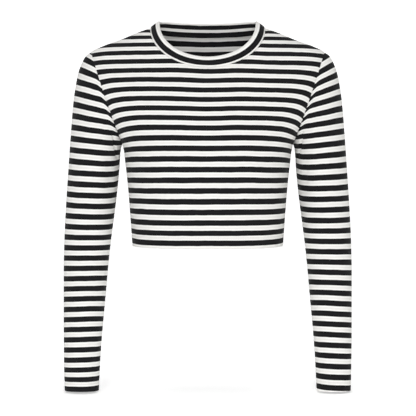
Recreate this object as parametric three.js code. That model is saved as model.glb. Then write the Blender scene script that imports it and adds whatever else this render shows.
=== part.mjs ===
// Long-sleeved cropped top in striped jersey, open and filled out as it is when worn, with nobody in it.
// Millimetres. +Z is up, the front faces -Y, and +X is the side of the wearer's left arm.
// The origin is midway between the two points where a shoulder seam meets the neckband.
// Pieces, as they are cut and sewn: front, back, two set-in sleeves and a neckband folded double.
import * as THREE from 'three';

// Cloth
const WALL = 1.5;
const HEM_WALL = 2.3;
const HEM_DEPTH = 20;
const SEAM_GAP = 0.3;

// Neckline
const NECK_HALF_WIDTH = 97.6;
const FRONT_NECK_DROP = 68.3;
const BACK_NECK_DROP = 9.5;
const BAND_WIDTH = 19.4;
const BAND_PROUD = 0.45;
const BAND_WALL = 2.6;

// Body and armhole
const HEM_Z = -369;
const ARMPIT = { x: 144.7, z: -196 };
const SHOULDER_TIP = { x: 198, z: -41.5 };
const ROUNDNESS = 2.3;
const ARMHOLE_LOWER_FULLNESS = 0.12;
const EDGE_EASE = 25;

// Mesh steps
const STEPS_ACROSS = 26;
const SIDE_ROWS = 8;
const ARMHOLE_ROWS = 12;
const SHOULDER_ROWS = 5;
const EDGE_SHARE = 0.75;
const SLEEVE_ROWS = 30;
const CAP_CROWDING = 1.25;
const SLEEVE_COLUMNS = 2 * ARMHOLE_ROWS;

// Torso sections from the hem to the neck. Up to the armpit halfWidth is the side seam, and above the
// shoulder tip it is the shoulder ridge. front and back are depths from seamY, the y of both seams.
const TORSO_SECTIONS = rows(['z', 'halfWidth', 'front', 'back', 'seamY'], [
  [-369, 127.8, 90, 82, -8],
  [-320, 131.2, 94, 83, -8],
  [-270, 135.2, 100, 88, -7],
  [-230, 139.6, 105, 94, -5],
  [-196, 144.7, 107, 99, -4],
  [-170, 162.5, 105, 102, -3],
  [-140, 182.0, 99, 100, -1],
  [-110, 198.5, 89, 92, 0],
  [-80, 206.0, 77, 81, 1],
  [-60, 204.5, 67, 71, 2],
  [-41.5, 198.0, 57, 62, 2],
  [-31, 178.0, 50, 57, 2],
  [-20, 147.5, 42, 51.5, 1],
  [-10, 124.0, 30, 44, 0],
  [0, 97.6, 17, 30, 0],
]);

// Sleeve sections from the armhole to the cuff, seen from the front: the outer and the inner point,
// the depths before and behind midY, and how far the section's front is lifted above its middle.
const SLEEVE_SECTIONS = rows(
  ['outerX', 'outerZ', 'innerX', 'innerZ', 'front', 'back', 'midY', 'lift'], [
    [198.0, -41.5, 144.7, -196, 53, 57, 0, 0],
    [206.0, -47, 145.6, -198.5, 52.5, 56.5, 0, 0],
    [213.0, -58.5, 146.5, -201, 52, 56, 0, 0],
    [219.0, -74, 147.3, -204, 51.5, 55, 0, 0],
    [223.5, -94, 148.0, -208, 51, 53.5, 0.5, 0],
    [227.5, -120, 148.6, -214, 50, 51.5, 1, 0],
    [230.5, -150, 149.2, -222, 48.5, 49.5, 2, 0],
    [233.0, -182, 149.8, -232, 47, 47.5, 3, 0],
    [236.0, -222, 151.2, -250, 45.5, 46, 4, 0],
    [239.0, -265, 154.5, -282, 44, 44.5, 5, 0],
    [242.0, -312, 159.3, -320, 42, 42.5, 5, 0],
    [244.3, -360, 164.8, -362, 39.5, 40.5, 4, 1],
    [245.3, -410, 169.8, -410, 36.5, 38, 1, 2.5],
    [245.0, -460, 173.9, -459, 34, 35.5, -4, 4],
    [244.6, -510, 178.2, -508, 31, 32.5, -10, 4],
    [243.8, -560, 181.8, -559, 28.5, 30, -17, 3],
    [242.0, -613.5, 184.0, -613.5, 27, 28, -25, 2],
  ]);

// Soft troughs. On the sleeve, along is measured down the outer line and angle runs from the top over the
// front; on the front and back panels, points are front-view x and z. depth and width are the trough's own.
const SLEEVE_TROUGHS = rows(['along0', 'angle0', 'along1', 'angle1', 'width', 'depth'], [
  [128, 143, 205, 152, 5, 2.2],
  [150, 128, 232, 137, 6, 1.3],
  [132, 217, 210, 208, 5, 2.0],
  [352, 118, 384, 62, 8, 1.2],
  [384, 128, 408, 84, 8, 1.0],
]);
const PANEL_TROUGHS = rows(['x0', 'z0', 'x1', 'z1', 'width', 'depth'], [
  [148, -176, 112, -186, 6, 1.4],
  [152, -160, 124, -158, 6, 1.0],
  [136, -214, 104, -236, 8, 1.0],
]);

/** Turns bare rows into objects with the named columns. */
function rows(names, values) {
  return values.map((row) => Object.fromEntries(names.map((name, i) => [name, row[i]])));
}

/** Monotone cubic through (keys, values), keys rising: smooth, and never beyond the table's own values. */
function smoothCurve(keys, values) {
  const slopes = keys.slice(1).map((key, i) => (values[i + 1] - values[i]) / (key - keys[i]));
  const tangents = keys.map((_, i) => {
    if (i === 0) return slopes[0];
    if (i === keys.length - 1) return slopes[i - 1];
    const [before, after] = [slopes[i - 1], slopes[i]];
    return before * after <= 0 ? 0 : (2 * before * after) / (before + after);
  });
  return (key) => {
    const held = Math.min(Math.max(key, keys[0]), keys[keys.length - 1]);
    const i = Math.min(Math.max(keys.findIndex((k) => k >= held), 1), keys.length - 1) - 1;
    const span = keys[i + 1] - keys[i];
    const t = (held - keys[i]) / span;
    const s = 1 - t;
    return values[i] * (1 + 2 * t) * s * s + tangents[i] * span * t * s * s
      + values[i + 1] * t * t * (3 - 2 * t) - tangents[i + 1] * span * t * t * s;
  };
}

/** One smooth curve for each column of a table, over the given keys. */
function curvesOf(table, keys) {
  return Object.fromEntries(
    Object.keys(table[0]).map((name) => [name, smoothCurve(keys, table.map((row) => row[name]))]));
}

/** Depth of the soft trough between two points of a flat map, at the point (a, b) of that map. */
function troughAt(a, b, a0, b0, a1, b1, width, depth) {
  const [da, db] = [a1 - a0, b1 - b0];
  const t = ((a - a0) * da + (b - b0) * db) / (da * da + db * db);
  const held = Math.min(Math.max(t, 0), 1);
  const away = Math.hypot(a - a0 - held * da, b - b0 - held * db);
  return depth * Math.exp(-((away / width) ** 2)) * (0.35 + 0.65 * Math.sin(Math.PI * held));
}

/** Closed thin wall from a grid of outer points and matching inner points; around closes the columns. */
function wallGeometry(outer, inner, around) {
  const [rowCount, columnCount] = [outer.length, outer[0].length];
  const positions = [...outer.flat(), ...inner.flat()].flatMap((p) => [p.x, p.y, p.z]);
  const index = [];
  const innerStart = rowCount * columnCount;
  const at = (layer, j, i) => layer * innerStart + j * columnCount + (i % columnCount);
  const quad = (a, b, c, d) => index.push(a, b, c, a, c, d);
  const lastColumn = around ? columnCount : columnCount - 1;
  for (let j = 0; j < rowCount - 1; j += 1) {
    for (let i = 0; i < lastColumn; i += 1) {
      quad(at(0, j, i), at(0, j, i + 1), at(0, j + 1, i + 1), at(0, j + 1, i));
      quad(at(1, j, i), at(1, j + 1, i), at(1, j + 1, i + 1), at(1, j, i + 1));
    }
  }
  const top = rowCount - 1;
  for (let i = 0; i < lastColumn; i += 1) {
    quad(at(0, 0, i), at(1, 0, i), at(1, 0, i + 1), at(0, 0, i + 1));
    quad(at(0, top, i), at(0, top, i + 1), at(1, top, i + 1), at(1, top, i));
  }
  if (!around) {
    const right = columnCount - 1;
    for (let j = 0; j < top; j += 1) {
      quad(at(0, j, 0), at(0, j + 1, 0), at(1, j + 1, 0), at(1, j, 0));
      quad(at(0, j, right), at(1, j, right), at(1, j + 1, right), at(0, j + 1, right));
    }
  }
  return closedGeometry(positions, index);
}

/** Indexed geometry whose faces point out, whichever way round its grid was walked. */
function closedGeometry(positions, index) {
  let volume = 0;
  const corner = (k) => new THREE.Vector3().fromArray(positions, 3 * index[k]);
  for (let k = 0; k < index.length; k += 3) {
    volume += corner(k).dot(corner(k + 1).cross(corner(k + 2)));
  }
  if (volume < 0) index.reverse();
  const geometry = new THREE.BufferGeometry();
  geometry.setAttribute('position', new THREE.Float32BufferAttribute(positions, 3));
  geometry.setIndex(index);
  geometry.computeVertexNormals();
  return geometry;
}

const torso = curvesOf(TORSO_SECTIONS, TORSO_SECTIONS.map((row) => row.z));

// The armhole is a flat oval seen edge-on from the front, from the armpit up to the shoulder tip.
const armhole = {
  x: (ARMPIT.x + SHOULDER_TIP.x) / 2,
  z: (ARMPIT.z + SHOULDER_TIP.z) / 2,
  halfX: (SHOULDER_TIP.x - ARMPIT.x) / 2,
  halfZ: (SHOULDER_TIP.z - ARMPIT.z) / 2,
  front: SLEEVE_SECTIONS[0].front,
  back: SLEEVE_SECTIONS[0].back,
};

/** Depth of the armhole oval before (side -1) or behind (side 1) its middle, at an angle from the top. */
function armholeDepth(angle, side) {
  const fullness = 1 - ARMHOLE_LOWER_FULLNESS * Math.cos(angle);
  return (side < 0 ? armhole.front : armhole.back) * fullness * Math.abs(Math.sin(angle));
}

/** Depth of a panel before or behind the seams, from its section's superellipse alone. */
function sectionDepth(x, z, side) {
  const depth = side < 0 ? torso.front(z) : torso.back(z);
  const across = Math.min(Math.abs(x) / torso.halfWidth(z), 1) ** ROUNDNESS;
  return depth * (1 - across) ** (1 / ROUNDNESS);
}

/** y of a body panel at a front-view point. Beside the armhole it is eased onto the armhole oval. */
function panelY(x, z, side) {
  let depth = sectionDepth(x, z, side);
  const height = (z - armhole.z) / armhole.halfZ;
  if (Math.abs(height) < 1) {
    const edgeX = armhole.x + armhole.halfX * height;
    const short = armholeDepth(Math.acos(height), side) - sectionDepth(edgeX, z, side);
    depth += short * Math.exp(-(((edgeX - Math.abs(x)) / EDGE_EASE) ** 2));
  }
  for (const t of PANEL_TROUGHS) {
    const trough = troughAt(Math.abs(x), z, t.x0, t.z0, t.x1, t.z1, t.width, t.depth);
    depth -= Math.min(trough, 0.3 * depth);
  }
  return torso.seamY(z) + side * depth;
}

/** Outward normal of the torso sections' own surface at a point. */
function torsoNormal(p, side) {
  const level = (x, y, z) => {
    const depth = side < 0 ? torso.front(z) : torso.back(z);
    return Math.abs(x / torso.halfWidth(z)) ** ROUNDNESS
      + Math.abs((y - torso.seamY(z)) / depth) ** ROUNDNESS;
  };
  const h = 0.5;
  const zUp = Math.min(p.z + h, 0);
  return new THREE.Vector3(
    (level(p.x + h, p.y, p.z) - level(p.x - h, p.y, p.z)) / (2 * h),
    (level(p.x, p.y + h, p.z) - level(p.x, p.y - h, p.z)) / (2 * h),
    (level(p.x, p.y, zUp) - level(p.x, p.y, zUp - 2 * h)) / (2 * h)).normalize();
}

/** Outward normal of the armhole oval, in its own plane. hand is 1 on the wearer's left. */
function armholeNormal(angle, side, hand) {
  const halfLengthSquared = armhole.halfX ** 2 + armhole.halfZ ** 2;
  const up = Math.cos(angle) / halfLengthSquared;
  const out = Math.abs(Math.sin(angle)) / (side < 0 ? armhole.front : armhole.back);
  return new THREE.Vector3(hand * up * armhole.halfX, side * out, up * armhole.halfZ).normalize();
}

/** Unit vector across the armhole's plane, away from the body. */
function acrossArmhole(hand) {
  return new THREE.Vector3(hand * armhole.halfZ, 0, -armhole.halfX).normalize();
}

/** Right-hand edge of both panels from hem to neck: side seam, armhole, then shoulder seam. */
function panelEdge() {
  const edge = [];
  for (let j = 0; j < SIDE_ROWS; j += 1) {
    const z = HEM_Z + ((ARMPIT.z - HEM_Z) * j) / SIDE_ROWS;
    edge.push({ kind: 'side', x: torso.halfWidth(z), z });
  }
  for (let j = 0; j <= ARMHOLE_ROWS; j += 1) {
    const angle = Math.PI * (1 - j / ARMHOLE_ROWS);
    edge.push({
      kind: 'armhole',
      angle,
      x: armhole.x + armhole.halfX * Math.cos(angle),
      z: armhole.z + armhole.halfZ * Math.cos(angle),
    });
  }
  for (let j = 1; j <= SHOULDER_ROWS; j += 1) {
    const z = SHOULDER_TIP.z * (1 - j / SHOULDER_ROWS);
    edge.push({ kind: 'shoulder', x: torso.halfWidth(z), z });
  }
  return edge;
}

/** Wall thickness at a distance from a hem's edge: the hem is turned up inside. */
function wallAt(fromHem) {
  return WALL + (HEM_WALL - WALL) * (1 - THREE.MathUtils.smoothstep(fromHem, HEM_DEPTH - 2, HEM_DEPTH + 2));
}

/** Front (side -1) or back (side 1) panel: rows from hem to neck, columns from the right to the left. */
function panelGrid(side) {
  const edge = panelEdge();
  const neckDrop = side < 0 ? FRONT_NECK_DROP : BACK_NECK_DROP;
  const outer = [];
  const inner = [];
  edge.forEach((end, j) => {
    const v = j / (edge.length - 1);
    const spread = THREE.MathUtils.lerp(edge[0].x, NECK_HALF_WIDTH, v);
    const rise = THREE.MathUtils.lerp(v, 1 - end.z / HEM_Z, EDGE_SHARE);
    const middleZ = THREE.MathUtils.lerp(HEM_Z, -neckDrop, rise);
    const [outerRow, innerRow] = [[], []];
    for (let i = 0; i <= STEPS_ACROSS; i += 1) {
      const w = (2 * i) / STEPS_ACROSS - 1;
      const turn = (w * Math.PI) / 2;
      const x = end.x * w + spread * (Math.sin(turn) - w);
      const z = THREE.MathUtils.lerp(end.z, middleZ, Math.cos(turn));
      const atEdge = Math.abs(w) === 1;
      const p = new THREE.Vector3(x, panelY(x, z, side), z);
      let normal = torsoNormal(p, side);
      if (atEdge && end.kind === 'armhole') normal = armholeNormal(end.angle, side, Math.sign(w));
      const q = p.clone().addScaledVector(normal, -wallAt(z - HEM_Z));
      const shift = new THREE.Vector3();
      const endsArmhole = j === SIDE_ROWS || j === SIDE_ROWS + ARMHOLE_ROWS;
      if (atEdge && (end.kind !== 'armhole' || endsArmhole)) shift.y += (side * SEAM_GAP) / 2;
      const across = acrossArmhole(Math.sign(w));
      if (atEdge && end.kind === 'armhole') shift.addScaledVector(across, -SEAM_GAP / 2);
      outerRow.push(p.add(shift));
      innerRow.push(q.add(shift));
    }
    outer.push(outerRow);
    inner.push(innerRow);
  });
  return { outer, inner };
}

const sleeveAlong = [0];
SLEEVE_SECTIONS.slice(1).forEach((row, i) => {
  const last = SLEEVE_SECTIONS[i];
  sleeveAlong.push(sleeveAlong[i] + Math.hypot(row.outerX - last.outerX, row.outerZ - last.outerZ));
});
const sleeve = curvesOf(SLEEVE_SECTIONS, sleeveAlong);
const SLEEVE_LENGTH = sleeveAlong[sleeveAlong.length - 1];

/** Outer and inner point of a sleeve's wall, at an angle from the top over the front. */
function sleevePoint(along, angle, hand) {
  const s = Object.fromEntries(Object.entries(sleeve).map(([name, curve]) => [name, curve(along)]));
  const side = Math.sin(angle) >= 0 ? -1 : 1;
  const half = new THREE.Vector3((hand * (s.outerX - s.innerX)) / 2, 0, (s.outerZ - s.innerZ) / 2);
  const fullness = 1 - ARMHOLE_LOWER_FULLNESS * Math.cos(angle) * Math.max(0, 1 - along / 200);
  const depth = (side < 0 ? s.front : s.back) * fullness;
  const toFront = new THREE.Vector3(0, -depth, side < 0 ? s.lift : (s.lift * s.back) / s.front);
  const centre = new THREE.Vector3(hand * (s.outerX + s.innerX), 2 * s.midY, s.outerZ + s.innerZ)
    .multiplyScalar(0.5);
  const normal = half.clone().multiplyScalar(Math.cos(angle) / half.lengthSq())
    .addScaledVector(toFront, Math.sin(angle) / toFront.lengthSq()).normalize();
  const p = centre.addScaledVector(half, Math.cos(angle)).addScaledVector(toFront, Math.sin(angle));
  const radius = (half.length() + depth) / 2;
  for (const t of SLEEVE_TROUGHS) {
    const [arc, arc0, arc1] = [THREE.MathUtils.radToDeg(angle), t.angle0, t.angle1]
      .map((degrees) => THREE.MathUtils.degToRad(degrees) * radius);
    const trough = troughAt(along, arc, t.along0, arc0, t.along1, arc1, t.width, t.depth);
    p.addScaledVector(normal, -trough);
  }
  return { p, q: p.clone().addScaledVector(normal, -wallAt(SLEEVE_LENGTH - along)) };
}

/** One sleeve: rows from the armhole to the cuff, columns once round the arm. */
function sleeveGrid(hand) {
  const [outer, inner] = [[], []];
  for (let j = 0; j <= SLEEVE_ROWS; j += 1) {
    const along = SLEEVE_LENGTH * (j / SLEEVE_ROWS) ** CAP_CROWDING;
    const row = Array.from({ length: SLEEVE_COLUMNS }, (_, i) => (
      sleevePoint(along, (2 * Math.PI * i) / SLEEVE_COLUMNS, hand)));
    if (j === 0) {
      const fromSeam = acrossArmhole(hand).multiplyScalar(SEAM_GAP / 2);
      row.forEach(({ p, q }) => [p, q].forEach((point) => point.add(fromSeam)));
    }
    outer.push(row.map(({ p }) => p));
    inner.push(row.map(({ q }) => q));
  }
  return { outer, inner };
}

/** Neckline seam once round from the left shoulder over the front, with the band's own direction. */
function necklineStations() {
  const stations = [];
  for (const side of [-1, 1]) {
    const neckDrop = side < 0 ? FRONT_NECK_DROP : BACK_NECK_DROP;
    const lean = side < 0 ? { y: 0.42, z: 0.91 } : { y: -0.25, z: 0.97 };
    for (let i = 0; i < STEPS_ACROSS; i += 1) {
      const turn = -side * (Math.PI / 2) * (1 - (2 * i) / STEPS_ACROSS);
      const [x, z] = [NECK_HALF_WIDTH * Math.sin(turn), -neckDrop * Math.cos(turn)];
      const p = new THREE.Vector3(x, panelY(x, z, side), z);
      const [sin, cos] = [Math.sin(turn), Math.cos(turn)];
      const rise = new THREE.Vector3(-0.81 * sin, lean.y * cos, 0.59 * sin * sin + lean.z * cos * cos);
      stations.push({ p, normal: torsoNormal(p, side), rise: rise.normalize() });
    }
  }
  return stations;
}

/** Neckband: a strip folded double, standing on the neckline seam all round. */
function neckbandGeometry() {
  const stations = necklineStations();
  const inside = BAND_PROUD - BAND_WALL;
  // Section round the band: share of its width up from the seam, and height off the cloth's outer face.
  const section = [[0.08, BAND_PROUD], [0.5, BAND_PROUD], [0.92, BAND_PROUD], [0.985, BAND_PROUD - 0.5],
    [1, (BAND_PROUD + inside) / 2], [0.985, inside + 0.5], [0.92, inside], [0.5, inside], [0.08, inside]];
  const positions = [];
  stations.forEach(({ p, normal, rise }, k) => {
    const before = stations[(k + stations.length - 1) % stations.length].p;
    const after = stations[(k + 1) % stations.length].p;
    const run = after.clone().sub(before).normalize();
    const outward = run.clone().cross(rise).normalize();
    if (outward.dot(normal) < 0) outward.negate();
    const offSeam = normal.clone().cross(run).normalize();
    if (offSeam.dot(rise) < 0) offSeam.negate();
    const base = p.clone().addScaledVector(offSeam, SEAM_GAP);
    const foot = [base.clone(), base.clone().addScaledVector(normal, -WALL)];
    const body = section.map(([up, off]) => (
      base.clone().addScaledVector(rise, up * BAND_WIDTH).addScaledVector(outward, off)));
    [foot[0], ...body, foot[1]].forEach((point) => positions.push(point.x, point.y, point.z));
  });
  const ring = section.length + 2;
  const index = [];
  for (let k = 0; k < stations.length; k += 1) {
    const next = (k + 1) % stations.length;
    for (let m = 0; m < ring; m += 1) {
      const [a, b] = [k * ring + m, k * ring + ((m + 1) % ring)];
      const [c, d] = [next * ring + ((m + 1) % ring), next * ring + m];
      index.push(a, b, c, a, c, d);
    }
  }
  return closedGeometry(positions, index);
}

/** A named piece of the garment in plain jersey. */
function piece(name, geometry, colour) {
  const material = new THREE.MeshStandardMaterial({ color: colour, roughness: 0.9, metalness: 0 });
  const mesh = new THREE.Mesh(geometry, material);
  mesh.name = name;
  return mesh;
}

const JERSEY = '#e9e8e5';
const BAND_JERSEY = '#2a292b';
const [front, back] = [panelGrid(-1), panelGrid(1)];
const [right, left] = [sleeveGrid(-1), sleeveGrid(1)];

const top = new THREE.Group();
top.add(
  piece('front', wallGeometry(front.outer, front.inner, false), JERSEY),
  piece('back', wallGeometry(back.outer, back.inner, false), JERSEY),
  piece('sleeve_right', wallGeometry(right.outer, right.inner, true), JERSEY),
  piece('sleeve_left', wallGeometry(left.outer, left.inner, true), JERSEY),
  piece('neckband', neckbandGeometry(), BAND_JERSEY),
);

export default top;
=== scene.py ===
"""A long-sleeved cropped top in striped jersey, open and filled out as it is when worn.

Shapes are worked out in millimetres as whole numpy arrays and go into the meshes in metres. The front of
the top faces -Y, +X is the side of the wearer's left arm, and the origin is midway between the two points
where a shoulder seam meets the neckband.
"""
import logging
import math
from dataclasses import dataclass, field
from enum import Enum
from functools import partial
from typing import Callable, Sequence

import bpy
import numpy as np
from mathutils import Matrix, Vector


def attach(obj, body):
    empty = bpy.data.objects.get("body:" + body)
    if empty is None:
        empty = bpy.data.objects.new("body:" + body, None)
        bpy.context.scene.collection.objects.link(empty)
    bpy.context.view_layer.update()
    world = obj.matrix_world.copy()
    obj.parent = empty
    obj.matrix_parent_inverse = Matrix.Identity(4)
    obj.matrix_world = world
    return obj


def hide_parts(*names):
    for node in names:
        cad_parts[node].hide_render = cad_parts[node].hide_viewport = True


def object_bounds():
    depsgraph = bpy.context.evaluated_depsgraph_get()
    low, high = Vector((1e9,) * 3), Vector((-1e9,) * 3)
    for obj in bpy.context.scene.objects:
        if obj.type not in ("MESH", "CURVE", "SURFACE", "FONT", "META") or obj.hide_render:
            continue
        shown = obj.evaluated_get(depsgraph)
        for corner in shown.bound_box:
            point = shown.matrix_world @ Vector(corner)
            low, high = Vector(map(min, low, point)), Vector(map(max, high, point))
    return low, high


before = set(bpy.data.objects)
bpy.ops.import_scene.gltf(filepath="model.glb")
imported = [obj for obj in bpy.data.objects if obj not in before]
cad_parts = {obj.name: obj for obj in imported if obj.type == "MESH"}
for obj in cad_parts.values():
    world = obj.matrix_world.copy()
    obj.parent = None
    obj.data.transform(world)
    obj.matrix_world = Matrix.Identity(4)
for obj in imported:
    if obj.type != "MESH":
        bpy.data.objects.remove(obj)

CAD_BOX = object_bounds()
LOG = logging.getLogger("top")
Array = np.ndarray
Curve = Callable[[Array], Array]

MM = 0.001  # one millimetre in metres
CLOTH = "cloth_mm"  # the attribute with each point's place across and down the cloth
PHOTO_PX = 416  # width and height of the photograph
PX_MM = 1.7  # what one of its pixels covers at the top
WAVE_REPEAT = 0.314  # distance between the waves of a Wave texture of scale 1


class Side(Enum):
    """A body panel, by the direction it faces along Y."""

    FRONT = -1
    BACK = 1


class Hand(Enum):
    """A sleeve, by the side of the wearer along X."""

    RIGHT = -1
    LEFT = 1


def table(names: str, rows: Sequence[Sequence[float]]) -> dict[str, Array]:
    """Turns bare rows into named columns.

    Args:
        names: the columns' names, parted by spaces.
        rows: the numbers, one row for each section.

    Returns:
        One array for each name.
    """
    return dict(zip(names.split(), np.array(rows, float).T))


def smooth_curve(keys: Array, values: Array) -> Curve:
    """Monotone cubic through (keys, values): each inner tangent is the harmonic mean of the two slopes.

    Args:
        keys: rising positions.
        values: the value at each.

    Returns:
        A function that reads whole arrays and holds its end values outside the keys.
    """
    slopes = np.diff(values) / np.diff(keys)
    before, after = slopes[:-1], slopes[1:]
    alike = before * after > 0
    inner = np.where(alike, 2 * before * after / np.where(alike, before + after, 1), 0)
    tangents = np.concatenate([slopes[:1], inner, slopes[-1:]])

    def curve(key: Array) -> Array:
        """Value of the cubic at key."""
        held = np.clip(key, keys[0], keys[-1])
        i = np.clip(np.searchsorted(keys, held) - 1, 0, len(keys) - 2)
        span = keys[i + 1] - keys[i]
        t = (held - keys[i]) / span
        s = 1 - t
        ends = values[i] * (1 + 2 * t) * s * s + values[i + 1] * t * t * (3 - 2 * t)
        return ends + span * (tangents[i] * t * s * s - tangents[i + 1] * t * t * s)

    return curve


def curves_of(columns: dict[str, Array], keys: Array) -> dict[str, Curve]:
    """One smooth curve over keys for each named column."""
    return {name: smooth_curve(keys, values) for name, values in columns.items()}


def stack(x: Array, y: Array, z: Array) -> Array:
    """Points from three arrays that broadcast together."""
    return np.stack(np.broadcast_arrays(x, y, z), axis=-1).astype(float)


def unit(vectors: Array) -> Array:
    """Vectors brought to length one."""
    return vectors / np.maximum(np.linalg.norm(vectors, axis=-1, keepdims=True), 1e-9)


def bell(distance: Array, width: float | Array) -> Array:
    """A bell that is one at no distance: e to the power of minus the square of distance over width."""
    return np.exp(-((distance / width) ** 2))


def soft_step(distance: Array, ease: float) -> Array:
    """A step from 0 to 1 over a run of ease round zero, by the cubic t squared times (3 - 2 t)."""
    t = np.clip(distance / ease + 0.5, 0, 1)
    return t * t * (3 - 2 * t)


def run_along(points: Array, axis: int) -> Array:
    """Length walked along one axis of a grid of points, from its first line."""
    steps = np.linalg.norm(np.diff(points, axis=axis), axis=-1)
    start = np.zeros_like(np.take(steps, [0], axis=axis))
    return np.concatenate([start, np.cumsum(steps, axis=axis)], axis=axis)


def grid_normals(points: Array, outward: Array) -> Array:
    """Unit normals of a grid: the cross product of its two gradients, turned to the side of outward.

    Args:
        points: rows by columns by three.
        outward: a rough outward direction for the whole grid or for each point.

    Returns:
        One unit normal for each point.
    """
    normal = unit(np.cross(np.gradient(points, axis=1), np.gradient(points, axis=0)))
    return normal * np.where(np.sum(normal * outward, axis=-1, keepdims=True) < 0, -1, 1)


@dataclass(frozen=True)
class Fold:
    """A soft trough between two points of a cloth's own map.

    depth is negative for a ridge. Across its line the trough is a bell that widens from its first point
    to its second, and along the line it rises and falls like half a sine, with a slow waver. At its two
    ends it still has end_share of its depth.
    """

    a0: float
    b0: float
    a1: float
    b1: float
    width: float
    depth: float
    narrow: float = 0.85
    widening: float = 0.3
    waver: float = 0.12
    waver_run: float = 9
    end_share: float = 0.35

    def relief(self, a: Array, b: Array, reach: Array | float = 1.0) -> Array:
        """How far the trough lowers the cloth.

        Args:
            a: first place of each point on the map, in millimetres.
            b: second place of each point.
            reach: millimetres for each unit of b.

        Returns:
            The depth at each point.
        """
        da, db = self.a1 - self.a0, (self.b1 - self.b0) * reach
        off_a, off_b = a - self.a0, (b - self.b0) * reach
        t = np.clip((off_a * da + off_b * db) / (da * da + db * db), 0, 1)
        width = self.width * (self.narrow + self.widening * t)
        away = bell(np.hypot(off_a - t * da, off_b - t * db), width)
        waver = 1 + self.waver * np.sin(off_a / self.waver_run + 2 * t)
        along = self.end_share + (1 - self.end_share) * np.sin(math.pi * t)
        return self.depth * waver * away * along


@dataclass(frozen=True)
class Cloth:
    """Sizes of the jersey and of how it is sewn, in millimetres.

    needle_lines are the heights of the two hem threads over the top of the turned-up hem. black_share and
    black_middle are the black stripe's width and middle as parts of the pitch.
    """

    wall: float = 1.2
    hem_wall: float = 2.2
    hem_ease: float = 1.5
    seam_gap: float = 0.1
    seam_dip: float = 0.7
    seam_reach: float = 1.5
    pucker: float = 0.22
    pucker_run: float = 8.5
    pucker_reach: float = 4.5
    pucker_shift: float = 3.0
    pucker_sway: float = 1.3
    sway_run: float = 23
    allowance: float = 6.0
    allowance_wall: float = 1.1
    allowance_ease: float = 1.2
    bead: float = 0.45
    bead_width: float = 0.9
    needle_lines: tuple[float, float] = (-3.2, -0.4)
    channel_depth: float = 0.3
    channel_width: float = 0.8
    stitch_step: float = 3.0
    stitch_length: float = 2.3
    thread: float = 0.42
    pitch: float = 17.3
    black_share: float = 0.54
    black_middle: float = 0.2375


CLOTH_SIZES = Cloth()


def seam_relief(distance: Array, along: Array) -> Array:
    """Dip of the cloth beside a seam: a bell over the distance from it, with shallow puckers along it.

    Args:
        distance: how far each point lies from the seam.
        along: how far along the seam it lies.

    Returns:
        How far each point is lowered.
    """
    c = CLOTH_SIZES
    wave = np.sin(2 * math.pi * along / c.pucker_run + c.pucker_sway * np.sin(along / c.sway_run))
    return c.seam_dip * bell(distance, c.seam_reach) + c.pucker * wave * bell(distance, c.pucker_reach)


def wall_thickness(from_hem: Array, hem_depth: float) -> Array:
    """Thickness of the cloth, which is doubled inside as far as the hem reaches, with a soft step."""
    c = CLOTH_SIZES
    return c.hem_wall + (c.wall - c.hem_wall) * soft_step(from_hem - hem_depth, c.hem_ease)


def seam_allowance(distance: Array) -> Array:
    """Extra cloth inside along a seam: a step as wide as the allowance, with a bell for its overlocked edge.

    Args:
        distance: how far each point lies from the seam.

    Returns:
        The extra thickness.
    """
    c = CLOTH_SIZES
    bead = c.bead * bell(distance - c.allowance + c.bead_width, c.bead_width)
    return c.allowance_wall * soft_step(c.allowance - distance, c.allowance_ease) + bead


def stitch_channels(from_hem: Array, hem_depth: float) -> Array:
    """Shallow channels that the two hem threads pull into the cloth, a bell across each line."""
    c = CLOTH_SIZES
    from_edge = from_hem - hem_depth
    return c.channel_depth * sum(bell(from_edge - line, c.channel_width) for line in c.needle_lines)


def centred(across: Array) -> Array:
    """Distances across a cloth, counted from its middle column."""
    return across - across[:, across.shape[1] // 2][:, None]


def border(grid: Array) -> Array:
    """A grid's values once round its border, from its first point."""
    return np.concatenate([grid[0], grid[1:, -1], grid[-1, -2::-1], grid[-2:0:-1, 0]])


def grid_quads(n: Array) -> Array:
    """Faces between the neighbours of a grid of point numbers, as rows of four."""
    return np.stack([n[:-1, :-1], n[:-1, 1:], n[1:, 1:], n[1:, :-1]], axis=-1).reshape(-1, 4)


def shell_faces(rows: int, columns: int) -> Array:
    """Faces of a closed sheet: its face, its lining, and a rim that has one line of points between them.

    Args:
        rows: points down each of the two skins.
        columns: points across each of the two skins.

    Returns:
        Rows of four point numbers, for points in the order that sheet_object lays them.
    """
    outer = np.arange(rows * columns).reshape(rows, columns)
    inner = outer + outer.size
    around = border(outer)
    rim = np.stack([around, 2 * outer.size + np.arange(len(around)), border(inner)])
    rim = np.concatenate([rim, rim[:, :1]], axis=1)
    return np.concatenate([grid_quads(outer), grid_quads(inner)[:, ::-1], grid_quads(rim)[:, ::-1]])


def new_object(name: str, points: Array, faces: list[list[int]],
               cloth: Array) -> bpy.types.Object:
    """Puts a mesh in the scene with its place in the mesh.

    Args:
        name: the piece's name.
        points: places in millimetres.
        faces: rows of point numbers.
        cloth: for each point, the place across and down the cloth and the layer, kept as an attribute.

    Returns:
        The new object, smooth shaded.
    """
    mesh = bpy.data.meshes.new(name)
    mesh.from_pydata((points * MM).tolist(), [], faces)
    mesh.attributes.new(CLOTH, "FLOAT_VECTOR", "POINT").data.foreach_set("vector", cloth.ravel())
    mesh.polygons.foreach_set("use_smooth", np.ones(len(faces), bool))
    mesh.update()
    piece = bpy.data.objects.new(name, mesh)
    bpy.context.scene.collection.objects.link(piece)
    return piece


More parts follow.
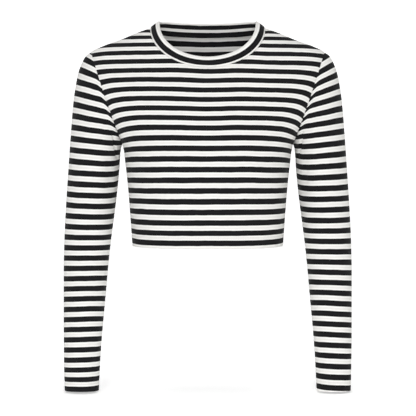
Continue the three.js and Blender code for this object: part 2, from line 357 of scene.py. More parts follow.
def sheet_object(name: str, outer: Array, inner: Array, across: Array,
                 down: Array, bulge: float = 0.35) -> bpy.types.Object:
    """A closed thin cloth from its outer and inner grids, with a rounded rim.

    The rim's middle line lies halfway between the two skins, moved out of the cloth's edge by a share of
    the wall. Its direction is the border's own tangent crossed with the wall's direction.

    Args:
        name: the piece's name.
        outer: rows by columns of points on the face.
        inner: the matching points on the reverse.
        across: place across the cloth at each grid point.
        down: place down the cloth at each grid point, which carries the stripes.
        bulge: how far the rim stands out, as a share of the wall.

    Returns:
        The new object.
    """
    rows, columns = outer.shape[:2]
    edge_out, edge_in = border(outer), border(inner)
    wall = edge_in - edge_out
    tangent = np.roll(edge_out, -1, axis=0) - np.roll(edge_out, 1, axis=0)
    off_edge = unit(np.cross(tangent, wall))
    row_in, column_in = (np.clip(np.arange(count), 1, count - 2) for count in (rows, columns))
    into_cloth = border(outer[row_in] + outer[:, column_in]) / 2 - edge_out
    off_edge *= np.where(np.sum(off_edge * into_cloth, axis=-1, keepdims=True) > 0, -1, 1)
    rim = edge_out + wall / 2 + off_edge * bulge * np.linalg.norm(wall, axis=-1, keepdims=True)
    points = np.concatenate([outer.reshape(-1, 3), inner.reshape(-1, 3), rim])
    face, lining, half = (stack(across, down, layer) for layer in (0.0, 1.0, 0.5))
    cloth = np.concatenate([face.reshape(-1, 3), lining.reshape(-1, 3), border(half)])
    return new_object(name, points, shell_faces(rows, columns).tolist(), cloth)


@dataclass
class BodyShape:
    """The shape that both body panels share: superellipse sections that rise from the hem to the neck.

    half_width is the side seam up to the armpit and the shoulder ridge above the shoulder tip. front and
    back are depths from seam_y, the y of both seams. side_end and armhole_end are where the side and the
    armhole end on a panel's edge, whose length counts as one. middle_share is how far the middle of a row
    follows the height of its ends.
    """

    roundness: float = 2.3
    hem_z: float = -369
    armpit: tuple[float, float] = (144.7, -196)
    shoulder_tip: tuple[float, float] = (198, -41.5)
    armhole_front: float = 53
    armhole_back: float = 57
    lower_fullness: float = 0.12
    edge_ease: float = 25
    neck_half_width: float = 97.6
    front_neck_drop: float = 68.3
    back_neck_drop: float = 9.5
    side_end: float = 8 / 25
    armhole_end: float = 20 / 25
    middle_share: float = 0.75

    def __post_init__(self) -> None:
        """Reads the sections into smooth curves over z."""
        sections = table("z half_width front back seam_y", [
            [-369, 127.8, 90, 82, -8],
            [-320, 131.2, 94, 83, -8],
            [-270, 135.2, 100, 88, -7],
            [-230, 139.6, 105, 94, -5],
            [-196, 144.7, 107, 99, -4],
            [-170, 162.5, 105, 102, -3],
            [-140, 182.0, 99, 100, -1],
            [-110, 198.5, 89, 92, 0],
            [-80, 206.0, 77, 81, 1],
            [-60, 204.5, 67, 71, 2],
            [-41.5, 198.0, 57, 62, 2],
            [-31, 178.0, 50, 57, 2],
            [-20, 147.5, 42, 51.5, 1],
            [-10, 124.0, 30, 44, 0],
            [0, 97.6, 17, 30, 0],
        ])
        self.curve = curves_of(sections, sections["z"])
        self.armhole_x = (self.armpit[0] + self.shoulder_tip[0]) / 2
        self.armhole_z = (self.armpit[1] + self.shoulder_tip[1]) / 2
        self.half_x = (self.shoulder_tip[0] - self.armpit[0]) / 2
        self.half_z = (self.shoulder_tip[1] - self.armpit[1]) / 2

    def neck_drop(self, side: Side) -> float:
        """How far the neckline's middle lies below its ends."""
        return self.front_neck_drop if side is Side.FRONT else self.back_neck_drop

    def section_depth(self, x: Array, z: Array, side: Side) -> Array:
        """Depth of a section's superellipse at x: depth times (1 - |x / half width|^n)^(1/n)."""
        depth = self.curve["front" if side is Side.FRONT else "back"](z)
        across = np.minimum(np.abs(x) / self.curve["half_width"](z), 1) ** self.roundness
        return depth * (1 - across) ** (1 / self.roundness)

    def edge_x(self, z: Array) -> Array:
        """How far from the middle a panel's side lies at a height, with the armhole's line run on upwards."""
        on_armhole = self.armhole_x + self.half_x * (z - self.armhole_z) / self.half_z
        return np.where(z > self.armpit[1], on_armhole, self.curve["half_width"](z))

    def armhole_depth(self, angle: Array, side: Side) -> Array:
        """Depth of the armhole's oval at an angle from its top."""
        depth = self.armhole_front if side is Side.FRONT else self.armhole_back
        return depth * (1 - self.lower_fullness * np.cos(angle)) * np.abs(np.sin(angle))

    def y(self, x: Array, z: Array, side: Side) -> Array:
        """y of a panel at front-view points: its section, eased onto the armhole's oval in a bell beside it.

        Args:
            x: place across.
            z: height.
            side: the panel.

        Returns:
            y at each point.
        """
        depth = self.section_depth(x, z, side)
        level = (z - self.armhole_z) / self.half_z
        height = np.clip(level, -1, 1)
        edge_x = self.armhole_x + self.half_x * height
        short = self.armhole_depth(np.arccos(height), side) - self.section_depth(edge_x, z, side)
        beside = bell(edge_x - np.abs(x), self.edge_ease)
        depth = depth + np.where(np.abs(level) < 1, short * beside, 0)
        return self.curve["seam_y"](z) + side.value * depth

    def edge(self, v: Array) -> tuple[Array, Array]:
        """x and z of a panel's edge, from the hem (v = 0) up the side, the armhole and the shoulder.

        The armhole takes equal steps of its oval's angle, so that it matches the sleeve's own steps.

        Args:
            v: place along the edge, 1 at the neck.

        Returns:
            x and z at each place.
        """
        side_end, armhole_end = self.side_end, self.armhole_end
        side_z = self.hem_z + (self.armpit[1] - self.hem_z) * np.clip(v / side_end, 0, 1)
        turn = math.pi * (1 - np.clip((v - side_end) / (armhole_end - side_end), 0, 1))
        shoulder_z = self.shoulder_tip[1] * (1 - np.clip((v - armhole_end) / (1 - armhole_end), 0, 1))
        armhole_z = self.armhole_z + self.half_z * np.cos(turn)
        armhole_x = self.armhole_x + self.half_x * np.cos(turn)
        z = np.where(v < side_end, side_z, np.where(v <= armhole_end, armhole_z, shoulder_z))
        on_armhole = (v >= side_end) & (v <= armhole_end)
        return np.where(on_armhole, armhole_x, self.curve["half_width"](z)), z

    def panel_points(self, side: Side, v: Array, w: Array) -> tuple[Array, Array]:
        """Front-view x and z of a panel's grid.

        A row runs from edge to edge, and sags from its ends to its middle by a cosine. Its x mixes an
        even spread with a sine, which gives the neckline the shape of half an ellipse.

        Args:
            side: the panel.
            v: rows, 0 at the hem and 1 at the neckline.
            w: columns, from -1 on the wearer's right to 1 on the left.

        Returns:
            x and z, rows by columns.
        """
        end_x, end_z = (a[:, None] for a in self.edge(v))
        spread = end_x[0] + (self.neck_half_width - end_x[0]) * v[:, None]
        rise = v[:, None] + ((1 - end_z / self.hem_z) - v[:, None]) * self.middle_share
        middle_z = self.hem_z + (-self.neck_drop(side) - self.hem_z) * rise
        turn = w[None] * math.pi / 2
        x = end_x * w[None] + spread * (np.sin(turn) - w[None])
        return x, end_z + (middle_z - end_z) * np.cos(turn)


def crowded(count: int, share: float) -> Array:
    """Numbers from -1 to 1 that crowd towards both ends: a mix of an even run and a sine."""
    even = np.linspace(-1, 1, count)
    return (1 - share) * even + share * np.sin(even * math.pi / 2)


@dataclass
class StripeField:
    """Where the stripes lie on a body panel, as a count of repeats that is whole at each black top edge.

    The count follows the height of the cloth's rows down the panel's middle. droop has a line for each
    height: how far below its middle the row there lies at each place across in columns. hook says how
    much lower again it lies at the panel's side, on the wearer's right and left, and fades with the
    distance from it.
    """

    heights: tuple[tuple[float, float], ...]
    droop: tuple[tuple[float, ...], ...]
    columns: tuple[float, ...] = (-100, -55, 0, 55, 100)
    hook_reach: float = 18

    def __post_init__(self) -> None:
        """Reads how far the rows hook down at the sides."""
        hook = table("z right left", [
            [-355, -0.7, -1.5],
            [-304, 0, 0],
            [-251, 1.8, 1.8],
            [-205, 4.5, 7],
            [-192, 7, 9],
            [-180, 9, 13],
            [-165, 10.3, 13.5],
            [-150, 9.8, 13.3],
            [-130, 8.8, 11.5],
            [-110, 7.2, 9.2],
            [-92, 5.2, 7.2],
            [-75, 3.2, 4.8],
            [-60, 2.3, 2.8],
            [-45, 4, 3],
        ])
        self.hook = curves_of(hook, hook["z"])

    def count(self, x: Array, z: Array, from_side: Array) -> Array:
        """Repeats counted down from the neck.

        Args:
            x: front-view place across.
            z: height.
            from_side: distance from the panel's side.

        Returns:
            The count at each point.
        """
        lines = np.array(self.droop)
        low = np.clip(np.searchsorted(lines[:, 0], z) - 1, 0, len(lines) - 2)
        t = np.clip((z - lines[low, 0]) / (lines[low + 1, 0] - lines[low, 0]), 0, 1)
        droop = np.stack([smooth_curve(np.array(self.columns), line[1:])(x) for line in lines])
        below, above = (np.take_along_axis(droop, k[None], axis=0)[0] for k in (low, low + 1))
        hook = np.where(x < 0, self.hook["right"](z), self.hook["left"](z))
        hook = hook * np.exp(-np.clip(from_side, 0, None) / self.hook_reach)
        level = z + below + (above - below) * t + hook
        repeats, rows = np.array(self.heights)[::-1].T
        held = np.clip(level, rows[0], rows[-1])
        return smooth_curve(rows, repeats)(held) - (level - held) / CLOTH_SIZES.pitch


FRONT_STRIPES = StripeField(
    heights=((-5.5, 0), (-4, -15.9), (-2, -42.2), (0, -72.2), (2, -103.3), (4, -134.6), (6, -165.8),
             (8, -199.0), (10, -233.6), (12, -268.7), (14, -304.2), (16, -339.0), (17, -355.3)),
    droop=((-355, 0.75, 0.4, 0, 0.35, 0.8),
           (-304, 0.45, 0.4, 0, 0, 0.5),
           (-251, 1.0, 0.2, 0, -0.1, 1.2),
           (-199, 0, -0.4, 0, -0.4, 0.3),
           (-166, -1.8, -1.1, 0, -1.1, -0.7),
           (-135, -2.3, -1.35, 0, -1.1, -0.6),
           (-103, -2.5, -1.6, 0, -0.9, -0.2),
           (-72, -2.0, -2.25, 0, -1.4, 0.2),
           (-42, -1.6, -2.2, -1, -1, 0.5)),
)
BACK_STRIPES = StripeField(
    heights=((-4.5, 0), (-4, -7.5), (-3, -21.3), (-2, -38.5), (0, -68.8), (2, -99.9), (4, -132.4),
             (6, -165.8), (8, -199.3), (10, -233.7), (12, -268.7), (14, -304.2), (16, -338.9), (17, -355.1)),
    droop=((-355, 0.5, 0.2, 0, 0.2, 0.5),
           (-251, 1.3, 0.3, 0, 0.3, 1.6),
           (-199, 0.2, -0.3, 0, -0.3, 0.5),
           (-103, -1.5, -1, 0, -1, 0),
           (-42, -1.2, -0.8, 0, -0.8, -0.8),
           (-28, -2.8, -1.3, 0, -1.3, -2.6),
           (-8, -6, -2.6, 0, -2.6, -6)),
)
FRONT_FOLDS = (
    Fold(148, -176, 112, -186, 6, 1.4),
    Fold(152, -160, 124, -158, 6, 1.0),
    Fold(136, -214, 104, -236, 8, 1.0),
    Fold(-148, -175, -110, -187, 6, 1.5),
    Fold(-153, -161, -122, -157, 6, 1.0),
    Fold(-136, -213, -101, -234, 8, 1.1),
    Fold(-92, -286, -104, -346, 12, 0.7),
    Fold(74, -292, 98, -350, 12, 0.6),
    Fold(-118, -96, -84, -60, 12, -0.5),
    Fold(120, -92, 88, -58, 12, -0.5),
)
BACK_FOLDS = (
    Fold(148, -175, 110, -188, 6, 1.5),
    Fold(152, -161, 122, -158, 6, 1.0),
    Fold(137, -212, 102, -238, 8, 1.1),
    Fold(-148, -177, -112, -185, 6, 1.4),
    Fold(-152, -159, -125, -156, 6, 1.0),
    Fold(-137, -215, -105, -233, 8, 1.0),
    Fold(-40, -258, 36, -266, 11, 0.8),
    Fold(-70, -292, -22, -303, 10, 0.6),
    Fold(52, -88, 96, -70, 12, -0.5),
    Fold(-56, -90, -94, -68, 12, -0.5),
)


@dataclass
class Panel:
    """The front or the back, cut in one from hem to neck, with its hem turned up and sewn.

    The corner sizes say where the surface is evened out: how far inside the armpit and above it, how far
    it reaches across and up, and how many turns it takes. turned_aside leans the rough outward direction
    to the sides, for each millimetre from the middle.
    """

    body: BodyShape
    side: Side
    stripes: StripeField
    folds: tuple[Fold, ...]
    rows: int = 151
    columns: int = 181
    crowding: float = 0.7
    hem_depth: float = 19
    corner_inset: float = 8
    corner_rise: float = 1
    corner_reach: tuple[float, float] = (20, 12)
    corner_turns: int = 80
    turned_aside: float = 1 / 200

    def even_out(self, points: Array) -> Array:
        """Evens out the surface beside the armpit corners, where the section meets the armhole's oval.

        y turns into the mean of its four neighbours again and again, weighted by a flat-topped bell round
        each corner, and the panel's own edges stay where they are.

        Args:
            points: the panel's bare surface.

        Returns:
            The evened surface.
        """
        x, y, z = np.moveaxis(points, -1, 0)
        from_x = (np.abs(x) - self.body.armpit[0] + self.corner_inset) / self.corner_reach[0]
        from_z = (z - self.body.armpit[1] - self.corner_rise) / self.corner_reach[1]
        near = np.exp(-(from_x ** 4) - from_z ** 4)
        near[[0, -1]] = near[:, [0, -1]] = 0
        for _ in range(self.corner_turns):
            mean = sum(np.roll(y, step, axis) for axis in (0, 1) for step in (1, -1)) / 4
            y = y + near * (mean - y)
        return stack(x, y, z)

    def build(self) -> bpy.types.Object:
        """Makes the panel's closed cloth."""
        c = CLOTH_SIZES
        v = np.linspace(0, 1, self.rows)
        x, z = self.body.panel_points(self.side, v, crowded(self.columns, self.crowding))
        points = self.even_out(stack(x, self.body.y(x, z, self.side), z))
        from_right, from_hem = run_along(points, 1), run_along(points, 0)
        from_left, from_top = from_right[:, -1:] - from_right, from_hem[-1:] - from_hem
        normal = grid_normals(points, stack(x * self.turned_aside, self.side.value, 0))
        low = (seam_relief(from_right, from_hem) + seam_relief(from_left, from_hem + c.pucker_shift)
               + seam_relief(from_top, from_right) + stitch_channels(from_hem, self.hem_depth)
               + sum(fold.relief(x, z) for fold in self.folds))
        outer = points - normal * low[..., None]
        outer[:, [0, -1], 1] += self.side.value * c.seam_gap
        normal = grid_normals(outer, normal)
        wall = wall_thickness(from_hem, self.hem_depth) + seam_allowance(from_top)
        if self.side is Side.BACK:
            wall = wall + seam_allowance(from_right) + seam_allowance(from_left)
        self.outer, self.normal, self.from_hem = outer, normal, from_hem
        down = self.stripes.count(x, z, self.body.edge_x(z) - np.abs(x)) * c.pitch
        name = self.side.name.lower() + "_panel"
        return sheet_object(name, outer, outer - normal * wall[..., None], centred(from_right), down)


def hem_stitches(name: str, cloth: "Panel | Sleeve") -> bpy.types.Object:
    """The two rows of stitches round a hem, each stitch a short thread that dips in at both ends.

    Each row follows the hem at a fixed distance, found between the grid's rows, and is stepped evenly. A
    stitch is a tube of five sides and five rings along its row, thin at its ends, half sunk in the cloth.

    Args:
        name: the piece's name.
        cloth: the built panel or sleeve that carries it.

    Returns:
        The new object.
    """
    c = CLOTH_SIZES
    at, facing = [], []
    for line in c.needle_lines:
        height = cloth.hem_depth + line
        row = np.argmax(np.diff(np.sign(cloth.from_hem - height), axis=0) != 0, axis=0)
        column = np.arange(cloth.columns)
        near, far = cloth.from_hem[row, column], cloth.from_hem[row + 1, column]
        t = ((height - near) / (far - near))[:, None]
        path, normal = (grid[row, column] * (1 - t) + grid[row + 1, column] * t
                        for grid in (cloth.outer, cloth.normal))
        walked = run_along(path, 0)
        steps = np.arange(c.stitch_step / 2, walked[-1], c.stitch_step)
        places = [[np.interp(steps + off, walked, values) for values in path.T] for off in (-0.5, 0, 0.5)]
        at.append(np.array(places).transpose(2, 0, 1))
        facing.append(np.stack([np.interp(steps, walked, values) for values in normal.T], axis=-1))
    at, facing = np.concatenate(at), unit(np.concatenate(facing))
    run = unit(at[:, 2] - at[:, 0])
    aside = np.cross(run, facing)
    ring = table("along thick proud", [
        [-0.5, 0.25, -0.5],
        [-0.38, 0.85, 0.1],
        [0, 1.0, 0.3],
        [0.38, 0.85, 0.1],
        [0.5, 0.25, -0.5],
    ])
    along, radius = ring["along"] * c.stitch_length, ring["thick"][:, None] * c.thread / 2
    sides, rings = 5, len(along)
    turn = np.arange(sides) * 2 * math.pi / sides
    sideways, upwards = radius * np.cos(turn), radius * np.sin(turn) + ring["proud"][:, None] * c.thread
    points = (at[:, 1, None, None] + along[:, None, None] * run[:, None, None]
              + sideways[..., None] * aside[:, None, None] + upwards[..., None] * facing[:, None, None])
    number = np.arange(rings * sides).reshape(rings, sides)
    tube = grid_quads(np.concatenate([number, number[:, :1]], axis=1).T)
    first = rings * sides * np.arange(len(at))[:, None, None]
    faces = (tube + first).reshape(-1, 4)
    caps = (np.stack([number[0], number[-1, ::-1]]) + first).reshape(-1, sides)
    along_thread = stack(np.tile(np.repeat(along, sides), len(at)), 0, 0)
    return new_object(name, points.reshape(-1, 3), faces.tolist() + caps.tolist(), along_thread)


@dataclass
class Sleeve:
    """A set-in sleeve from the armhole to its turned-up cuff, seamed under the arm.

    The cap's fullness fades over cap_length. The stripes tilt about tilt_x, hook down by hook beside the
    armhole, within hook_reach of it and hook_height of hook_z, and bow up within bow_reach of the underarm.
    """

    body: BodyShape
    hand: Hand
    folds: tuple[Fold, ...]
    rows: int = 260
    columns: int = 121
    crowding: float = 0.45
    row_crowding: float = 1.15
    hem_depth: float = 15.8
    cap_length: float = 200
    tilt_x: float = 200
    tilt_turns: int = 3
    hook: float = 5
    hook_reach: float = 4
    hook_z: float = -137
    hook_height: float = 47
    bow_reach: float = 7

    def __post_init__(self) -> None:
        """Reads the sections into smooth curves over the distance down the outer line."""
        sections = table("outer_x outer_z inner_x inner_z front back mid_y lift", [
            [198.0, -41.5, 144.7, -196, 53, 57, 0, 0],
            [206.0, -47, 145.6, -198.5, 52.5, 56.5, 0, 0],
            [213.0, -58.5, 146.5, -201, 52, 56, 0, 0],
            [219.0, -74, 147.3, -204, 51.5, 55, 0, 0],
            [223.5, -94, 148.0, -208, 51, 53.5, 0.5, 0],
            [227.5, -120, 148.6, -214, 50, 51.5, 1, 0],
            [230.5, -150, 149.2, -222, 48.5, 49.5, 2, 0],
            [233.0, -182, 149.8, -232, 47, 47.5, 3, 0],
            [236.0, -222, 151.2, -250, 45.5, 46, 4, 0],
            [239.0, -265, 154.5, -282, 44, 44.5, 5, 0],
            [242.0, -312, 159.3, -320, 42, 42.5, 5, 0],
            [244.3, -360, 164.8, -362, 39.5, 40.5, 4, 1],
            [245.3, -410, 169.8, -410, 36.5, 38, 1, 2.5],
            [245.0, -460, 173.9, -459, 34, 35.5, -4, 4],
            [244.6, -510, 178.2, -508, 31, 32.5, -10, 4],
            [243.8, -560, 181.8, -559, 28.5, 30, -17, 3],
            [242.0, -613.5, 184.0, -613.5, 27, 28, -25, 2],
        ])
        steps = np.hypot(np.diff(sections["outer_x"]), np.diff(sections["outer_z"]))
        along = np.concatenate([[0], np.cumsum(steps)])
        self.length = along[-1]
        self.curve = curves_of(sections, along)
        rows = table("stripe right left", [
            [0, -52.9, -42.4],
            [1, -73.1, -64.8],
            [2, -93.0, -83.9],
            [4, -131.4, -120.4],
            [6, -168.3, -156.7],
            [9, -223.7, -211.5],
            [12, -279.0, -266.8],
            [15, -333.0, -321.3],
            [19, -404.2, -393.2],
            [23, -473.9, -463.9],
            [27, -541.4, -533.8],
            [29, -574.4, -568.4],
            [31, -606.1, -603.3],
        ])
        self.levels = rows[self.hand.name.lower()][::-1]
        self.stripe_at = smooth_curve(self.levels, rows["stripe"][::-1])
        tilts = table("level right left", [
            [-605, 0, -0.038],
            [-573, -0.020, -0.033],
            [-541, -0.023, -0.037],
            [-510, -0.023, -0.044],
            [-480, -0.024, -0.044],
            [-405, -0.012, -0.023],
            [-350, 0.009, 0.005],
            [-300, 0.033, 0.020],
            [-242, 0.059, 0.057],
            [-205, 0.095, 0.096],
            [-168, 0.150, 0.148],
            [-131, 0.238, 0.265],
            [-100, 0.289, 0.389],
            [-75, 0.413, 0.524],
            [-50, 0.590, 0.632],
        ])
        self.tilt_at = smooth_curve(tilts["level"], tilts[self.hand.name.lower()])
        bows = table("level rise", [
            [-600, 1.6],
            [-530, 1.2],
            [-480, 0.5],
            [-400, 0],
            [-320, 1.5],
            [-280, 3],
            [-245, 4.5],
            [-190, 3],
            [-175, 1.5],
            [-150, 0],
        ])
        self.bow_at = smooth_curve(bows["level"], bows["rise"])

    def section(self, along: Array) -> dict[str, Array]:
        """The sizes of the sections at distances down the outer line."""
        return {name: curve(along) for name, curve in self.curve.items()}

    def middle(self, s: dict[str, Array]) -> Array:
        """The middles of sections, as points."""
        x, z = ((s["outer_" + axis] + s["inner_" + axis]) / 2 for axis in "xz")
        return stack(self.hand.value * x, s["mid_y"], z)

    def points(self, along: Array, angle: Array) -> tuple[Array, Array]:
        """Outer surface of the bare sleeve, and its half-girth.

        A point is its section's middle, plus the half-width times the angle's cosine, plus the depth
        before or behind times its sine. The angle runs from the top of the sleeve over its front.

        Args:
            along: distance down the outer line.
            angle: angle round the arm.

        Returns:
            The points, and a mean radius for each.
        """
        s = self.section(along)
        cos, sin = np.cos(angle), np.sin(angle)
        fullness = 1 - self.body.lower_fullness * cos * np.clip(1 - along / self.cap_length, 0, 1)
        depth = np.where(sin >= 0, s["front"], s["back"]) * fullness
        half_x = self.hand.value * (s["outer_x"] - s["inner_x"]) / 2
        half_z = (s["outer_z"] - s["inner_z"]) / 2
        lift = np.where(sin >= 0, s["lift"], s["lift"] * s["back"] / s["front"])
        points = self.middle(s) + stack(half_x * cos, -depth * sin, half_z * cos + lift * sin)
        return points, (np.hypot(half_x, half_z) + depth) / 2

    def stripe_count(self, points: Array, along: Array) -> Array:
        """Repeats counted down the sleeve: the height, less the rows' tilt across and their lean.

        The tilt is that of the row's own height at tilt_x, so it is found in three turns. The hook is a
        bell beside the armhole, and the bow fades evenly from the underarm.

        Args:
            points: the bare sleeve's points.
            along: distance of each row down the outer line.

        Returns:
            The count at each point.
        """
        s = self.section(along)
        x, z = np.abs(points[..., 0]), points[..., 2]
        at_armhole = np.exp(-(((z - self.hook_z) / self.hook_height) ** 4))
        height = z - s["lift"] / s["front"] * (s["mid_y"] - points[..., 1])
        height = height + self.hook * bell(x - self.body.edge_x(z), self.hook_reach) * at_armhole
        height = height - self.bow_at(z) * np.exp(-np.clip(x - s["inner_x"], 0, None) / self.bow_reach)
        level = height
        for _ in range(self.tilt_turns):
            level = height - self.tilt_at(level) * (x - self.tilt_x)
        held = np.clip(level, self.levels[0], self.levels[-1])
        return self.stripe_at(held) - (level - held) / CLOTH_SIZES.pitch

    def build(self) -> bpy.types.Object:
        """Makes the sleeve's closed cloth, with its long edges meeting under the arm."""
        along = (self.length * np.linspace(0, 1, self.rows) ** self.row_crowding)[:, None]
        turn = crowded(self.columns, self.crowding)[None] * math.pi
        points, radius = self.points(along, turn)
        from_seam, from_armhole = run_along(points, 1), run_along(points, 0)
        to_seam, from_hem = from_seam[:, -1:] - from_seam, from_armhole[-1:] - from_armhole
        normal = grid_normals(points, points - self.middle(self.section(along)))
        low = (seam_relief(from_armhole, from_seam) + seam_relief(from_seam, from_armhole)
               + seam_relief(to_seam, from_armhole) + stitch_channels(from_hem, self.hem_depth)
               + sum(fold.relief(along, np.degrees(turn), np.radians(radius)) for fold in self.folds))
        outer = points - normal * low[..., None]
        normal = grid_normals(outer, normal)
        wall = wall_thickness(from_hem, self.hem_depth)
        wall = wall + seam_allowance(from_armhole) + seam_allowance(from_seam)
        self.outer, self.normal, self.from_hem = outer, normal, from_hem
        down = self.stripe_count(points, along) * CLOTH_SIZES.pitch
        name = "sleeve_cloth_" + self.hand.name.lower()
        return sheet_object(name, outer, outer - normal * wall[..., None], centred(from_seam), down)


RIGHT_SLEEVE_FOLDS = (
    Fold(24, 131, 124, 158, 4.4, 5.0),
    Fold(150, 128, 232, 137, 6, 1.3),
    Fold(28, -131, 124, -157, 4.4, 4.0),
    Fold(352, 118, 384, 62, 8, 1.2),
    Fold(384, 128, 408, 84, 8, 1.0),
    Fold(338, -122, 372, -64, 8, 1.1),
    Fold(374, -130, 398, -82, 8, 0.9),
    Fold(262, 150, 286, 96, 7, 0.7),
    Fold(466, 44, 504, 22, 8, 0.5),
    Fold(505, 124, 552, 146, 7, 0.7),
    Fold(512, -64, 546, -30, 8, 0.6),
    Fold(34, 48, 92, 30, 10, -0.5),
)
LEFT_SLEEVE_FOLDS = (
    Fold(26, 132, 120, 158, 4.4, 4.8),
    Fold(148, 129, 230, 138, 6, 1.3),
    Fold(26, -132, 128, -158, 4.4, 4.0),
    Fold(349, 116, 386, 64, 8, 1.1),
    Fold(386, 126, 410, 82, 8, 1.1),
    Fold(342, -118, 370, -60, 8, 1.0),
    Fold(378, -128, 402, -84, 8, 0.9),
    Fold(268, 146, 290, 100, 7, 0.7),
    Fold(458, 50, 500, 30, 8, 0.5),
    Fold(500, 120, 546, 148, 7, 0.8),
    Fold(508, -58, 540, -26, 8, 0.6),
    Fold(38, 52, 96, 34, 10, -0.5),
)


@dataclass(frozen=True)
class BandLean:
    """How the neckband rises from one panel: backwards and up at its middle, and how fast that fades."""

    backwards: float
    up: float
    up_power: int
    inward_power: int


BAND_LEANS = {Side.FRONT: BandLean(0.42, 0.91, 2, 1), Side.BACK: BandLean(-0.25, 0.97, 6, 3)}


def smoothed_loop(values: Array, reach: int = 7) -> Array:
    """Smooths the values of a closed loop by the mean of their neighbours, weighted by a raised cosine.

    Args:
        values: one row for each station, with the first one repeated at the end.
        reach: how many neighbours count on each side.

    Returns:
        The smoothed rows, laid out in the same way.
    """
    weights = np.hanning(2 * reach + 1)
    ring = values[:-1]
    padded = np.concatenate([ring[-reach:], ring, ring[:reach]])
    columns = [np.convolve(column, weights / weights.sum(), "valid") for column in padded.T]
    ring = np.stack(columns, axis=-1)
    return np.concatenate([ring, ring[:1]])


@dataclass
class Neckband:
    """The neckband: one strip folded double that stands on the neckline seam all round.

    wall is the fold's whole thickness and skin the jersey's own. puff is how far the faces swell, and
    inner_puff is the inner face's share of it. lap is how far the inner edge reaches over the panels.
    rough_depth and rough_up tell roughly which way is outward, with x for the sides.
    """

    body: BodyShape
    width: float = 19.4
    wall: float = 2.6
    skin: float = 1.0
    proud: float = 0.45
    puff: float = 0.55
    puff_power: float = 0.8
    inner_puff: float = 0.4
    seam_dip: float = 1.1
    dip_reach: float = 1.4
    lap: float = 0.5
    end_inward: float = 0.81
    end_up: float = 0.59
    rough_depth: float = 60
    rough_up: float = 20
    stations: int = 321
    face_points: int = 15
    fold_points: int = 7

    def seam(self, side: Side, turn: Array) -> tuple[Array, Array, Array]:
        """The neckline on one panel, as half of an ellipse seen from the front.

        Args:
            side: the panel.
            turn: angle from the neckline's middle, rising to the wearer's left.

        Returns:
            Points of the neckline, the directions in which the band rises, and rough outward ones.
        """
        lean = BAND_LEANS[side]
        cos, sin = np.cos(turn), np.sin(turn)
        x, z = self.body.neck_half_width * sin, -self.body.neck_drop(side) * cos
        near_end = np.abs(sin) ** lean.up_power
        inward = -self.end_inward * np.sign(sin) * np.abs(sin) ** lean.inward_power
        up = self.end_up * near_end + lean.up * (1 - near_end)
        rough = stack(x, side.value * self.rough_depth * cos, self.rough_up)
        return stack(x, self.body.y(x, z, side), z), unit(stack(inward, lean.backwards * cos, up)), rough

    def profile(self) -> tuple[Array, Array, Array]:
        """The band's profile: up the outer face, over a half-circle fold and down the inner face.

        Both faces swell by a power of half a sine, and the outer one dips in a bell at its seam.

        Returns:
            Height on the band, place outwards, and the angle that the cloth has turned through.
        """
        fold = np.linspace(0, math.pi, self.fold_points + 2)[1:-1]
        face_up = np.linspace(0, self.width - self.wall / 2, self.face_points)
        flat = np.zeros(self.face_points)
        up = np.concatenate([face_up, face_up[-1] + self.wall / 2 * np.sin(fold), face_up[::-1]])
        up[-1] = -self.lap  # covers the seam, so that no light shows through it
        off = np.concatenate([flat, (np.cos(fold) - 1) * self.wall / 2, flat - self.wall])
        turned = np.concatenate([flat, fold, flat + math.pi])
        puff = self.puff * np.sin(math.pi * np.clip(up / self.width, 0, 1)) ** self.puff_power
        relief = np.where(off > -self.wall / 2, puff - self.seam_dip * bell(up, self.dip_reach),
                          -puff * self.inner_puff)
        return up, self.proud + off + relief, turned

    def build(self) -> bpy.types.Object:
        """Makes the band's closed loop of cloth: the profile carried along the neckline seam."""
        half = np.linspace(0, math.pi, self.stations // 2 + 1)
        front = self.seam(Side.FRONT, math.pi / 2 - half)
        back = self.seam(Side.BACK, half - math.pi / 2)
        base, rise, rough = (np.concatenate([f, b[1:]]) for f, b in zip(front, back))
        rise = unit(smoothed_loop(rise))
        run = unit(np.gradient(np.concatenate([base[-2:-1], base, base[1:2]]), axis=0)[1:-1])
        outward = unit(np.cross(run, rise))
        outward *= np.where(np.sum(outward * rough, axis=-1, keepdims=True) < 0, -1, 1)
        outward = unit(smoothed_loop(outward))
        up, off, turned = (values[:, None, None] for values in self.profile())
        outer = base + up * rise + off * outward
        normal = grid_normals(outer, np.cos(turned) * outward + np.sin(turned) * rise)
        counts = table("walked repeats", [
            [0, 0.74],
            [3.4, 1.0],
            [11.6, 1.46],
            [19.6, 1.80],
            [25.3, 2.0],
            [31.6, 2.46],
            [37.4, 3.0],
            [39.5, 3.12],
        ])
        down = smooth_curve(counts["walked"], counts["repeats"])(run_along(outer, 0)) * CLOTH_SIZES.pitch
        return sheet_object("neckband_cloth", outer, outer - normal * self.skin, run_along(outer, 1), down)


def linear(hex_colour: str) -> tuple[float, float, float, float]:
    """Turns an sRGB hex colour into linear red, green, blue and alpha."""
    parts = [int(hex_colour[i:i + 2], 16) / 255 for i in (1, 3, 5)]
    return (*(p / 12.92 if p <= 0.04045 else ((p + 0.055) / 1.055) ** 2.4 for p in parts), 1.0)


def add_node(tree: bpy.types.NodeTree, kind: str, inputs: dict[int | str, object] | None = None,
             **settings: object) -> bpy.types.Node:
    """Adds a node with its settings and links.

    Args:
        tree: the material's node tree.
        kind: the node's type, without the ShaderNode that each begins with.
        inputs: a value or an output socket for inputs by number or name.
        settings: the node's own settings by name.

    Returns:
        The new node.
    """
    node = tree.nodes.new("ShaderNode" + kind)
    for name, value in settings.items():
        setattr(node, name, value)
    for key, value in (inputs or {}).items():
        if isinstance(value, bpy.types.NodeSocket):
            tree.links.new(value, node.inputs[key])
        else:
            node.inputs[key].default_value = value
    return node


